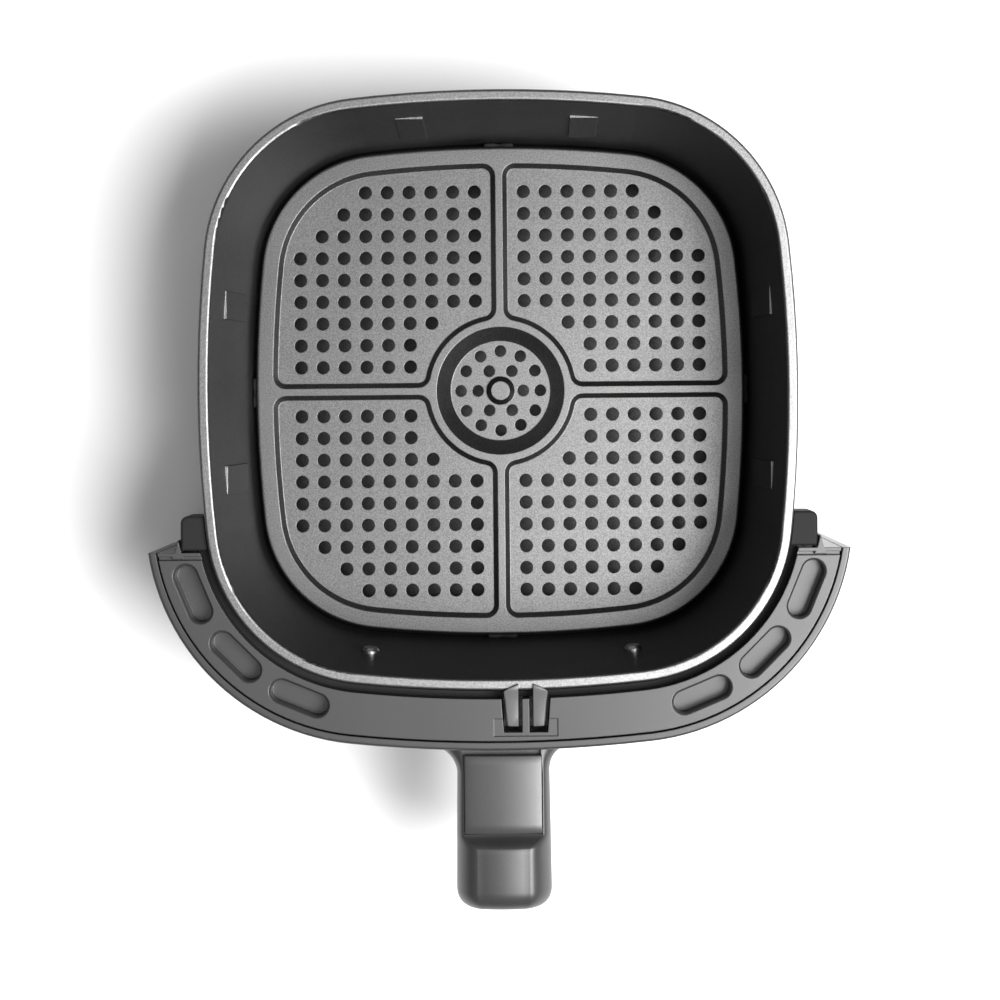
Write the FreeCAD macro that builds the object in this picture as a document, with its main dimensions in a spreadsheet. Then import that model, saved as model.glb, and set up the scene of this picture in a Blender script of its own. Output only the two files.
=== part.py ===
import FreeCAD, Part
import math
import os

import Sketcher

# Pull-out drawer of a compact air fryer: a coated pan with a perforated crisper plate,
# a hollow two-shell front and a forward handle.
# The origin is the centre of the pan's underside. +Z is up, +Y is the back, the handle points to -Y.
# Plan outlines are rounded squares made of four shallow side arcs and four corner arcs. Every one of
# them is the rim outline moved in or out by an offset, so all of them are parallel to each other.

SIZES = (
    # name, millimetres (or degrees, or a count), what it is
    ("rim_half", 120.0, "half the width of the pan over its rim"),
    ("side_radius", 540.0, "plan radius of the rim's four side arcs"),
    ("corner_radius", 66.5, "plan radius of the rim's four corner arcs"),
    ("pan_height", 108.0, "underside of the pan to the top of the rim"),
    ("rim_width", 4.6, "top of the rim, wall to edge"),
    ("rim_drop", 5.0, "turned-down lip of the rim"),
    ("rim_round", 1.2, "rounding of the rim's two top edges"),
    ("wall_lean", 8.0, "how far the pan's wall leans in from rim to floor"),
    ("sheet", 1.0, "steel sheet of pan and plate"),
    ("floor_round", 8.0, "inner radius between the pan's wall and floor"),
    ("pad_width", 11.5, "embossed pad on the pan's wall, width"),
    ("pad_height", 42.0, "embossed pad, height"),
    ("pad_proud", 0.7, "embossed pad, how far it stands out"),
    ("pad_drop", 27.0, "rim to the top of the embossed pad"),
    ("pad_spacing", 72.0, "between the two pads of one wall"),
    ("plate_top", 23.0, "top face of the crisper plate"),
    ("plate_skirt", 7.0, "turned-down skirt of the plate"),
    ("plate_flare", 1.4, "how far the skirt flares out"),
    ("plate_round", 1.3, "rounding of the plate's top edge"),
    ("plate_gap", 0.9, "skirt to pan wall"),
    ("plate_border", 7.0, "flat border round the four fields"),
    ("rib_half", 1.5, "half the cross rib, crown to the field's edge"),
    ("field_depth", 2.0, "how deep each field is pressed"),
    ("field_slope", 2.1, "width of the slope round a field"),
    ("field_corner", 3.5, "corner radius of a field"),
    ("hub_ring", 31.0, "outer radius of the ring round the hub"),
    ("well_radius", 27.9, "mouth of the hub's well"),
    ("well_floor", 21.8, "floor radius of the hub's well"),
    ("well_depth", 6.0, "depth of the hub's well"),
    ("post_base", 6.2, "foot radius of the hub's centre post"),
    ("post_top", 4.1, "top radius of the hub's centre post"),
    ("post_height", 4.2, "height of the hub's centre post"),
    ("hole_radius", 2.8, "hole in a field"),
    ("hole_pitch", 9.53, "hole to hole in a field"),
    ("hole_first", 10.69, "centreline to the first row of holes"),
    ("hole_margin", 3.45, "least land between a hole and the field's edge"),
    ("hub_hole_radius", 2.5, "hole in the hub"),
    ("hub_outer_ring", 17.4, "radius of the hub's outer ring of holes"),
    ("hub_inner_ring", 9.9, "radius of the hub's inner ring of holes"),
    ("bumper_width", 13.0, "silicone bumper, along the plate's edge"),
    ("bumper_gap", 0.35, "bumper to the pan's wall and floor"),
    ("bumper_leg", 5.6, "thickness of the bumper's foot"),
    ("carrier_gap", 1.2, "rim edge to the carrier band"),
    ("frame_inset", 3.6, "rim edge to the front frame"),
    ("carrier_bottom", 50.0, "lower edge of the carrier band"),
    ("carrier_drop", 9.0, "rim top to the carrier band's top"),
    ("tab_reach", 7.5, "how far the side tab stands out from the rim"),
    ("tab_length", 14.0, "side tab, front to back"),
    ("tab_drop", 2.8, "rim top to the side tab's top"),
    ("tab_height", 18.0, "height of the side tab"),
    ("tab_gap", 0.5, "rim edge to the side tab"),
    ("tab_round", 3.0, "rounding of the side tab's outer corner"),
    ("frame_drop", 2.0, "rim top to the top of the front"),
    ("frame_bottom", 8.0, "underside of the front frame"),
    ("front_reach", 24.3, "rim edge to the outside of the front cover"),
    ("skin", 3.2, "thickness of the front cover"),
    ("seam", 0.7, "gap between front frame and front cover"),
    ("shell", 2.4, "wall of the front frame"),
    ("cover_hang", 2.0, "how far the cover hangs below the frame"),
    ("end_setback", 3.6, "start of the corner curve to the front's end"),
    ("edge_round", 1.2, "rounding of the cover's outer edges"),
    ("slot_length", 24.0, "oblong pocket in the frame"),
    ("slot_width", 8.8, "oblong pocket, width"),
    ("slot_depth", 8.0, "oblong pocket, depth"),
    ("slot_wall", 1.5, "wall round an oblong pocket"),
    ("slot_lip", 0.8, "chamfer of the pocket's mouth"),
    ("slot_offset", 11.2, "rim edge to the middle of a pocket"),
    ("slot_step", 22.5, "angle from pocket to pocket, degrees"),
    ("groove_width", 1.5, "groove across each end of the frame"),
    ("groove_depth", 1.8, "depth of the end groove"),
    ("spine_width", 2.6, "pointed rib that crosses the end groove"),
    ("spine_length", 7.5, "pointed rib, front to back"),
    ("spine_jut", 5.0, "how far its point stands out of the frame's end"),
    ("spine_place", 12.0, "outside of the frame to the pointed rib"),
    ("clip_x", 10.0, "rim clip, right of the centre"),
    ("notch_half", 10.0, "half the width of the notch for the clip"),
    ("notch_depth", 18.0, "depth of the notch below the frame's top"),
    ("apron_depth", 0.5, "shallow recess round the notch"),
    ("apron_margin", 2.8, "recess beyond each side of the notch"),
    ("apron_length", 7.0, "recess, front to back"),
    ("notch_length", 17.0, "rim edge to the far end of the notch"),
    ("bar_width", 2.8, "bar that divides the notch"),
    ("bar_height", 9.0, "height of the dividing bar"),
    ("prong_width", 5.6, "prong of the clip"),
    ("prong_spread", 11.6, "between the two prongs' centres"),
    ("prong_length", 14.6, "prong, front to back beyond the rim edge"),
    ("prong_hook", 2.6, "how far the prong laps over the rim"),
    ("prong_rise", 1.8, "prong above the rim"),
    ("prong_clear", 4.2, "rim edge to the back of the prong's leg"),
    ("prong_sink", 0.6, "front end of the prong below the frame's top"),
    ("clip_base", 3.0, "thickness of the clip's base"),
    ("handle_length", 64.8, "cover to the handle's end"),
    ("handle_half", 18.7, "half the handle's width at the cover"),
    ("handle_spread", 0.7, "how much wider each side is at the end"),
    ("handle_root", 11.0, "plan fillet between handle and cover"),
    ("handle_nose", 6.5, "plan radius of the handle's end corners"),
    ("handle_drop", 4.6, "top of the front to the handle's rails"),
    ("handle_thick", 30.0, "depth of the handle at its waist"),
    ("handle_belly", 5.0, "how much deeper the handle is at both ends"),
    ("stop_start", 34.5, "cover to the foot of the thumb stop"),
    ("stop_slope", 4.8, "run of the thumb stop's slope"),
    ("stop_rise", 4.6, "thumb stop above the panel"),
    ("stop_round", 6.0, "rounding of the handle's top edges"),
    ("panel_half", 15.6, "half the width of the handle's panel"),
    ("panel_thick", 2.4, "thickness of the handle's panel"),
    ("panel_sink", 1.0, "panel below the rails"),
    ("panel_play", 0.25, "gap round the panel"),
    ("strap", 3.0, "thickness of the steel bracket"),
    ("tongue_half", 10.0, "half the width of the bracket's tongue"),
    ("tongue_drop", 25.0, "top of the front to the tongue's top"),
    ("tongue_length", 46.0, "cover to the tongue's end"),
    ("strap_half", 27.0, "half the width of the bracket's plate"),
    ("strap_height", 30.0, "height of the bracket's plate"),
    ("strap_play", 0.2, "play round the tongue"),
    ("screw_radius", 2.0, "shank of every screw"),
    ("screw_head", 3.9, "head radius of every screw"),
    ("screw_crown", 2.2, "head height of every screw"),
    ("screw_play", 0.05, "shank to its hole"),
    ("boss_radius", 4.6, "boss for a screw"),
    ("pan_screw_x", 55.0, "pan screws, each side of the centre"),
    ("pan_screw_drop", 45.0, "rim top to the pan screws"),
    ("pan_screw_grip", 10.0, "shank of a pan screw"),
    ("bracket_screw_x", 18.0, "bracket screws, each side of the centre"),
    ("bracket_screw_grip", 7.6, "shank of a bracket screw"),
    ("clip_screw_grip", 5.0, "shank of the clip screw"),
    ("cover_screw_grip", 14.0, "shank of a cover screw"),
    ("cover_screw_inner", 22.5, "angle of the inner cover screws, degrees"),
    ("cover_screw_outer", 67.5, "angle of the outer cover screws, degrees"),
    ("cover_boss_height", 18.0, "boss inside the cover"),
    ("handle_screw_near", 12.0, "cover to the nearer handle screw"),
    ("handle_screw_far", 30.0, "cover to the farther handle screw"),
    ("handle_screw_grip", 20.0, "shank of a handle screw"),
)

SHEET_NAME = "Sizes"
MATCH = 1e-3
PARTS_FOLDER = "parts"
MAX_NAME = 60


class Size:
    """A length or angle: its value now, and the sheet expression that gives it."""

    def __init__(self, text, value):
        self.text = text
        self.value = float(value)

    def joined(self, sign, other, value):
        return Size("(" + self.text + sign + size(other).text + ")", value)

    def __add__(self, other):
        return self.joined(" + ", other, self.value + size(other).value)

    def __sub__(self, other):
        return self.joined(" - ", other, self.value - size(other).value)

    def __mul__(self, other):
        return self.joined(" * ", other, self.value * size(other).value)

    def __truediv__(self, other):
        return self.joined(" / ", other, self.value / size(other).value)

    def __neg__(self):
        return Size("(0 - " + self.text + ")", -self.value)


def size(number):
    """Any number as a Size."""
    return number if isinstance(number, Size) else Size(repr(number), number)


def root(area):
    return Size("sqrt(" + area.text + ")", math.sqrt(area.value))


def sine(angle):
    return Size("sin(" + angle.text + ")", math.sin(math.radians(angle.value)))


def cosine(angle):
    return Size("cos(" + angle.text + ")", math.cos(math.radians(angle.value)))


def arc_sine(ratio):
    return Size("(asin(" + ratio.text + ") / 1 deg)", math.degrees(math.asin(ratio.value)))


def arc_tangent(ratio):
    return Size("(atan(" + ratio.text + ") / 1 deg)", math.degrees(math.atan(ratio.value)))


doc = FreeCAD.newDocument("air_fryer_drawer")
sheet = doc.addObject("Spreadsheet::Sheet", SHEET_NAME)


class Sizes:
    """Every driving size of the sheet, by its name."""


d = Sizes()
for row, (alias, number, meaning) in enumerate(SIZES, start=1):
    sheet.set("A%d" % row, meaning)
    sheet.set("B%d" % row, str(number))
    sheet.setAlias("B%d" % row, alias)
    setattr(d, alias, Size(SHEET_NAME + "." + alias, number))
doc.recompute()

# Worked-out places that several pieces share.
ZERO = size(0)
ARC_SHIFT = d.side_radius - d.rim_half
ARC_STEP = d.side_radius - d.corner_radius
CORNER = (root(ARC_STEP * ARC_STEP * 2 - ARC_SHIFT * ARC_SHIFT) - ARC_SHIFT) / 2
TURN = arc_tangent(CORNER / (CORNER + ARC_SHIFT))
WALL_TOP = -d.rim_width
WALL_RISE = d.pan_height - d.sheet
FRAME_TOP = d.pan_height - d.frame_drop
FRAME_OUT = d.front_reach - d.skin - d.seam
COVER_BOTTOM = d.frame_bottom - d.cover_hang
FRONT_END = CORNER + (d.corner_radius + d.front_reach) * sine(TURN) + d.end_setback
COVER_FACE = d.rim_half + d.front_reach
LEAN_ANGLE = arc_tangent(d.wall_lean / WALL_RISE)
HANDLE_TOP = FRAME_TOP - d.handle_drop
PANEL_TOP = HANDLE_TOP - d.panel_sink
TONGUE_TOP = FRAME_TOP - d.tongue_drop
CLIP_FLOOR = FRAME_TOP - d.notch_depth


def wall_offset(height):
    """Offset of the pan's inner wall from the rim outline at a height."""
    return WALL_TOP - d.wall_lean * (d.pan_height - height) / WALL_RISE


def front_y(offset, across):
    """Distance from the origin to an offset outline's front arc, at a place across it."""
    radius = d.side_radius + offset
    return root(radius * radius - across * across) - ARC_SHIFT


def bind(thing, path, length):
    thing.setExpression(path, size(length).text)


def place(thing, x=ZERO, y=ZERO, z=ZERO, yaw=None, pitch=None, roll=None):
    """Bind where an object stands, and how it is turned."""
    turns = [size(turn or 0).value for turn in (yaw, pitch, roll)]
    at = FreeCAD.Vector(x.value, y.value, z.value)
    thing.Placement = FreeCAD.Placement(at, FreeCAD.Rotation(*turns))
    for axis, length in zip("xyz", (x, y, z)):
        bind(thing, "Placement.Base." + axis, length)
    for name, turn in zip(("Yaw", "Pitch", "Roll"), (yaw, pitch, roll)):
        if turn is not None:
            bind(thing, "Placement.Rotation." + name, turn)


# ---------------------------------------------------------------- sketches

def new_body(name):
    return doc.addObject("PartDesign::Body", name)


def new_sketch(body, name, plane="XY_Plane", lift=ZERO):
    """An empty sketch on one of its body's origin planes, lifted along the plane's normal."""
    sketch = body.newObject("Sketcher::SketchObject", name)
    support = next(item for item in body.Origin.OriginFeatures if item.Role == plane)
    sketch.AttachmentSupport = [(support, "")]
    sketch.MapMode = "FlatFace"
    sketch.AttachmentOffset = FreeCAD.Placement(FreeCAD.Vector(0, 0, lift.value), FreeCAD.Rotation())
    bind(sketch, "AttachmentOffset.Base.z", lift)
    return sketch


def constrain(sketch, kind, *items):
    """Add one constraint; a last item that is a Size becomes its bound value."""
    length = items[-1] if isinstance(items[-1], Size) else None
    if length is None:
        return sketch.addConstraint(Sketcher.Constraint(kind, *items))
    index = sketch.addConstraint(Sketcher.Constraint(kind, *items[:-1], length.value))
    bind(sketch, "Constraints[%d]" % index, length)
    return index


START, END, MIDDLE, ORIGIN = 1, 2, 3, -1


def pin_point(sketch, edge, point, x, y):
    """Hold one point of an edge at a place."""
    for kind, axis, length in (("DistanceX", -2, x), ("DistanceY", -1, y)):
        if abs(length.value) < MATCH:
            constrain(sketch, "PointOnObject", edge, point, axis)
        else:
            constrain(sketch, kind, ORIGIN, START, edge, point, length)


def add_arc(sketch, x, y, radius, first, last):
    centre = FreeCAD.Vector(x.value, y.value, 0)
    circle = Part.Circle(centre, FreeCAD.Vector(0, 0, 1), radius.value)
    arc = Part.ArcOfCircle(circle, math.radians(first), math.radians(last))
    return sketch.addGeometry(arc, False)


def add_outline(sketch, offset):
    """A closed rounded square, parallel to the rim outline."""
    turn = TURN.value
    flat = d.side_radius + offset
    tight = d.corner_radius + offset
    arcs = []
    for quarter in range(4):
        angle = 90 * quarter
        along = math.cos(math.radians(angle))
        up = math.sin(math.radians(angle))
        centre = (ARC_SHIFT * -round(along), ARC_SHIFT * -round(up))
        side = add_arc(sketch, *centre, flat, angle - turn, angle + turn)
        pin_point(sketch, side, MIDDLE, *centre)
        constrain(sketch, "Radius", side, flat)
        corner_x = CORNER * (1 if round(along - up) > 0 else -1)
        corner_y = CORNER * (1 if round(along + up) > 0 else -1)
        corner = add_arc(sketch, corner_x, corner_y, tight, angle + turn, angle + 90 - turn)
        constrain(sketch, "Radius", corner, tight)
        arcs += [side, corner]
    for arc, following in zip(arcs, arcs[1:] + arcs[:1]):
        constrain(sketch, "Tangent", arc, END, following, START)


def add_front_arc(sketch, offset, end):
    """Left corner, front and right corner arcs of an offset outline; returns the three edges."""
    turn = TURN.value
    tight = d.corner_radius + offset
    dip = math.degrees(math.asin((end.value - CORNER.value) / tight.value))
    left = add_arc(sketch, -CORNER, -CORNER, tight, 180 + dip, 270 - turn)
    front = add_arc(sketch, ZERO, ARC_SHIFT, d.side_radius + offset, 270 - turn, 270 + turn)
    right = add_arc(sketch, CORNER, -CORNER, tight, 270 + turn, 360 - dip)
    pin_point(sketch, front, MIDDLE, ZERO, ARC_SHIFT)
    constrain(sketch, "Radius", front, d.side_radius + offset)
    for corner in (left, right):
        constrain(sketch, "Radius", corner, tight)
    constrain(sketch, "Tangent", left, END, front, START)
    constrain(sketch, "Tangent", front, END, right, START)
    constrain(sketch, "DistanceY", ORIGIN, START, left, START, -end)
    constrain(sketch, "DistanceY", ORIGIN, START, right, END, -end)
    return left, front, right


def add_line(sketch, first, last):
    ends = [FreeCAD.Vector(x.value, y.value, 0) for x, y in (first, last)]
    return sketch.addGeometry(Part.LineSegment(*ends), False)


def add_front_band(sketch, inner, outer, end):
    """A band that wraps round the front between two offsets, cut off level at both ends."""
    rings = []
    for offset in (inner, outer):
        left, front, right = add_front_arc(sketch, offset, end)
        reach = CORNER + root((d.corner_radius + offset) * (d.corner_radius + offset)
                              - (end - CORNER) * (end - CORNER))
        rings.append((left, right, reach))
    for edge, point, sign in ((0, START, -1), (1, END, 1)):
        first, last = rings[0][2] * sign, rings[1][2] * sign
        line = add_line(sketch, (first, -end), (last, -end))
        constrain(sketch, "Coincident", line, START, rings[0][edge], point)
        constrain(sketch, "Coincident", line, END, rings[1][edge], point)


def add_polygon(sketch, points):
    """A closed polygon with every corner held."""
    edges = [add_line(sketch, first, last) for first, last in zip(points, points[1:] + points[:1])]
    for edge, following in zip(edges, edges[1:] + edges[:1]):
        constrain(sketch, "Coincident", edge, END, following, START)
    for edge, (x, y) in zip(edges, points):
        pin_point(sketch, edge, START, x, y)
    return edges


def add_rectangle(sketch, left, right, low, high):
    return add_polygon(sketch, [(left, low), (right, low), (right, high), (left, high)])


def add_circle(sketch, x, y, radius):
    centre = FreeCAD.Vector(x.value, y.value, 0)
    circle = sketch.addGeometry(Part.Circle(centre, FreeCAD.Vector(0, 0, 1), radius.value), False)
    pin_point(sketch, circle, MIDDLE, x, y)
    constrain(sketch, "Radius", circle, radius)


def add_slot(sketch, x, y, angle, length, width):
    """An oblong with round ends, its long axis turned by an angle."""
    reach = (length - width) / 2
    half = width / 2
    along = (cosine(angle), sine(angle))
    ends = [(x + along[0] * reach * sign, y + along[1] * reach * sign) for sign in (1, -1)]
    turn = angle.value
    first = add_arc(sketch, *ends[0], half, turn - 90, turn + 90)
    last = add_arc(sketch, *ends[1], half, turn + 90, turn + 270)
    for cap, centre in ((first, ends[0]), (last, ends[1])):
        pin_point(sketch, cap, MIDDLE, *centre)
    constrain(sketch, "Radius", first, half)
    sides = []
    for sign in (1, -1):
        shift = (-along[1] * half * sign, along[0] * half * sign)
        start, stop = (ends[0], ends[1]) if sign > 0 else (ends[1], ends[0])
        sides.append(add_line(sketch, (start[0] + shift[0], start[1] + shift[1]),
                              (stop[0] + shift[0], stop[1] + shift[1])))
    for arc, side, following in ((first, sides[0], last), (last, sides[1], first)):
        constrain(sketch, "Tangent", arc, END, side, START)
        constrain(sketch, "Tangent", side, END, following, START)


# ---------------------------------------------------------------- features

def pad(body, sketch, length, both=False):
    feature = body.newObject("PartDesign::Pad", "Pad")
    feature.Profile = sketch
    feature.Midplane = both
    bind(feature, "Length", length)
    return feature


def pocket(body, sketch, length=None, both=False, reverse=False):
    """Cut a sketch away: to a depth, or right through when no depth is given."""
    feature = body.newObject("PartDesign::Pocket", "Pocket")
    feature.Profile = sketch
    feature.Midplane = both
    feature.Reversed = reverse
    if length is None:
        feature.Type = "ThroughAll"
    else:
        bind(feature, "Length", length)
    return feature


def revolve(body, sketch):
    feature = body.newObject("PartDesign::Revolution", "Revolution")
    feature.Profile = sketch
    feature.ReferenceAxis = (sketch, ["V_Axis"])
    feature.Angle = 360
    return feature


def around(body, features, count):
    """Repeat features round the vertical axis."""
    pattern = body.newObject("PartDesign::PolarPattern", "PolarPattern")
    pattern.Originals = features
    pattern.Axis = (next(item for item in body.Origin.OriginFeatures if item.Role == "Z_Axis"), [""])
    pattern.Angle = 360
    pattern.Occurrences = count
    body.Tip = pattern
    return pattern


def soften(body, kind, length, wanted):
    """Fillet or chamfer the edges of the body's tip that a test picks out."""
    doc.recompute()
    base = body.Tip
    names = ["Edge%d" % (index + 1) for index, edge in enumerate(base.Shape.Edges) if wanted(edge)]
    if not names:
        raise RuntimeError("no edge to soften on " + body.Name)
    feature = body.newObject("PartDesign::" + kind, kind)
    feature.Base = (base, names)
    bind(feature, "Radius" if kind == "Fillet" else "Size", length)
    return feature


def level(edge, height):
    """True for an edge that lies flat at a height."""
    middle = edge.valueAt((edge.FirstParameter + edge.LastParameter) / 2)
    heights = [vertex.Z for vertex in edge.Vertexes] + [middle.z]
    return all(abs(z - height.value) < MATCH for z in heights)


def faces_facing(shape, wanted):
    """Names of the faces whose middle normal passes a test."""
    names = []
    for index, face in enumerate(shape.Faces):
        low_u, high_u, low_v, high_v = face.ParameterRange
        if wanted(face, face.normalAt((low_u + high_u) / 2, (low_v + high_v) / 2)):
            names.append("Face%d" % (index + 1))
    return names


def lean(body, angle, outward):
    """Tilt the upright walls of the body's tip about its lowest face, to widen or narrow it upward."""
    doc.recompute()
    base = body.Tip
    low = base.Shape.BoundBox.ZMin
    walls = faces_facing(base.Shape, lambda face, normal: abs(normal.z) < MATCH)
    floor = faces_facing(
        base.Shape, lambda face, normal: normal.z < -MATCH and face.CenterOfMass.z < low + MATCH)
    feature = body.newObject("PartDesign::Draft", "Draft")
    feature.Base = (base, walls)
    feature.NeutralPlane = (base, floor[:1])
    feature.Reversed = outward
    bind(feature, "Angle", angle)
    return feature


def outline_body(name, offset, low, high, angle, outward=True):
    """A rounded-square block with leaning walls; the offset is that of its foot."""
    body = new_body(name)
    sketch = new_sketch(body, name + "_outline", lift=low)
    add_outline(sketch, offset)
    pad(body, sketch, high - low)
    lean(body, angle, outward)
    return body


def primitive(kind, name, **lengths):
    thing = doc.addObject("Part::" + kind, name)
    for path, length in lengths.items():
        bind(thing, path, length)
    return thing


def box(name, x, y, z):
    """A box between pairs of x, y and z values."""
    thing = primitive("Box", name, Length=x[1] - x[0], Width=y[1] - y[0], Height=z[1] - z[0])
    place(thing, x[0], y[0], z[0])
    return thing


def cylinder(name, radius, length, **spot):
    thing = primitive("Cylinder", name, Radius=radius, Height=length)
    place(thing, **spot)
    return thing


def fuse(name, things):
    result = doc.addObject("Part::MultiFuse", name)
    result.Shapes = things
    return result


def cut(name, base, tool):
    result = doc.addObject("Part::Cut", name)
    result.Base = base
    result.Tool = tool
    return result


def common(name, first, second):
    result = doc.addObject("Part::MultiCommon", name)
    result.Shapes = [first, second]
    return result


# ---------------------------------------------------------------- screws

class Seat:
    """Where the underside of a screw's head rests, the way its head points, and the turn that does it."""

    def __init__(self, place_at, axis, yaw=None, roll=None):
        self.place_at = place_at
        self.axis = axis
        self.yaw = yaw
        self.roll = roll

    def stand(self, thing, distance=ZERO):
        """Stand an object's own +Z on the axis, some way out from the seat."""
        spot = [start + part * distance for start, part in zip(self.place_at, self.axis)]
        place(thing, *spot, yaw=self.yaw, roll=self.roll)


def level_seat(x, y, z, across, radius, outward):
    """A seat on a wall that curves about the vertical; the head points away from the pan or to it."""
    turn = arc_sine(across / radius)
    sign = 1 if outward else -1
    axis = (sine(turn) * sign, cosine(turn) * -sign, ZERO)
    return Seat((x, y, z), axis, yaw=turn, roll=size(90 * sign))


def upright_seat(x, y, z, up):
    return Seat((x, y, z), (ZERO, ZERO, size(1 if up else -1)), roll=size(0 if up else 180))


def rod(name, seat, radius, first, last):
    """A cylinder along a seat's axis between two distances from it."""
    thing = primitive("Cylinder", name, Radius=radius, Height=last - first)
    seat.stand(thing, first)
    return thing


def bore(seat, grip, margin=1.0):
    """The hole a screw passes through."""
    return rod("bore", seat, d.screw_radius + d.screw_play, -grip - margin, size(margin))


def make_screw(name, seat, grip):
    """Pan-head screw turned in one piece: shank down, rounded head up."""
    body = new_body(name)
    sketch = new_sketch(body, name + "_profile", "XZ_Plane")
    crown = d.screw_crown
    points = [
        (ZERO, -grip), (d.screw_radius - d.sheet / 2, -grip), (d.screw_radius, -grip + d.sheet / 2),
        (d.screw_radius, ZERO), (d.screw_head, ZERO), (d.screw_head, crown / 2),
        (d.screw_head * 3 / 4, crown), (ZERO, crown),
    ]
    add_polygon(sketch, points)
    revolve(body, sketch)
    seat.stand(body)
    return body


def pan_seat(side):
    """A pan screw stands square to the leaning wall, with its head inside the pan."""
    height = d.pan_height - d.pan_screw_drop
    offset = wall_offset(height)
    turn = arc_sine(d.pan_screw_x / (d.side_radius + offset)) * side
    flat = cosine(LEAN_ANGLE)
    axis = (-(sine(turn) * flat), cosine(turn) * flat, sine(LEAN_ANGLE))
    spot = (d.pan_screw_x * side, -front_y(offset, d.pan_screw_x), height)
    return Seat(spot, axis, yaw=turn, roll=LEAN_ANGLE - 90)


def bracket_seat(side):
    """A bracket screw clamps the bracket, the frame's inner wall and the carrier band."""
    offset = d.frame_inset + d.shell + d.strap
    across = d.bracket_screw_x * side
    height = TONGUE_TOP + d.strap / 3 - d.strap_height / 2
    return level_seat(across, -front_y(offset, across), height, across, d.side_radius + offset, True)


def cover_seat(side, angle):
    """A cover screw goes up through the frame's floor into a boss of the cover."""
    reach = d.corner_radius + d.slot_offset
    x = (CORNER + reach * cosine(angle)) * side
    return upright_seat(x, -CORNER - reach * sine(angle), d.frame_bottom, False)


def handle_seat(distance):
    floor = PANEL_TOP - d.panel_thick - d.screw_crown - d.panel_play
    return upright_seat(ZERO, -COVER_FACE - distance, floor, True)


PAN_SEATS = {"right": pan_seat(1), "left": pan_seat(-1)}
BRACKET_SEATS = {"right": bracket_seat(1), "left": bracket_seat(-1)}
COVER_SEATS = {
    name + "_" + hand: cover_seat(side, angle)
    for name, angle in (("outer", d.cover_screw_outer - 45), ("inner", d.cover_screw_inner + 45))
    for hand, side in (("right", 1), ("left", -1))
}
HANDLE_SEATS = {"near": handle_seat(d.handle_screw_near), "far": handle_seat(d.handle_screw_far)}
CLIP_SEAT = upright_seat(d.clip_x, -d.rim_half - d.notch_length / 2 - d.shell, CLIP_FLOOR - d.shell, False)


# ---------------------------------------------------------------- the pan

def wall_pad_points(across, side):
    """Section of an embossed pad: a slanted bar that follows the wall and is half sunk in it."""
    top = d.pan_height - d.pad_drop
    low = top - d.pad_height
    depths = ((-d.pad_proud, low), (d.sheet / 2, low), (d.sheet / 2, top), (-d.pad_proud, top))
    return [((front_y(wall_offset(height), across) + depth) * side, height) for depth, height in depths]


def make_pan():
    """Sheet-steel pan: leaning walls, a flat rim with a turned-down lip, pads on three walls."""
    over = d.sheet
    outside = outline_body("pan_outside", wall_offset(ZERO) + d.sheet, ZERO, d.pan_height, LEAN_ANGLE)
    soften(outside, "Fillet", d.floor_round + d.sheet, lambda edge: level(edge, ZERO))
    inside = outline_body("pan_inside", wall_offset(d.sheet), d.sheet, d.pan_height + over, LEAN_ANGLE)
    soften(inside, "Fillet", d.floor_round, lambda edge: level(edge, d.sheet))
    lip = new_body("pan_lip")
    edge_sketch = new_sketch(lip, "pan_lip_outline", lift=d.pan_height - d.rim_drop)
    add_outline(edge_sketch, ZERO)
    pad(lip, edge_sketch, d.rim_drop)
    under = new_sketch(lip, "pan_under_rim", lift=d.pan_height - d.rim_drop)
    add_outline(under, -d.sheet)
    pocket(lip, under, d.rim_drop - d.sheet, reverse=True)
    body = new_body("pan_shell")
    body.BaseFeature = cut("pan_open", fuse("pan_solid", [outside, lip]), inside)
    soften(body, "Fillet", d.rim_round, lambda edge: level(edge, d.pan_height))
    for plane, sides in (("YZ_Plane", (1,)), ("XZ_Plane", (1, -1))):
        for across in (d.pad_spacing / 2, -d.pad_spacing / 2):
            for side in sides:
                sketch = new_sketch(body, "wall_pad", plane, across)
                add_polygon(sketch, wall_pad_points(across, side))
                pad(body, sketch, d.pad_width, both=True)
    bores = [bore(seat, d.pan_screw_grip) for seat in PAN_SEATS.values()]
    return cut("pan", body, fuse("pan_bores", bores))


# ---------------------------------------------------------------- the crisper plate

SKIRT_LOW = d.plate_top - d.plate_skirt
SKIRT_EDGE = wall_offset(SKIRT_LOW) - d.plate_gap
PLATE_EDGE = SKIRT_EDGE - d.plate_flare
FIELD_EDGE = PLATE_EDGE - d.plate_border
QUARTERS = {"right": 0, "back": 90, "left": 180, "front": -90}


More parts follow.
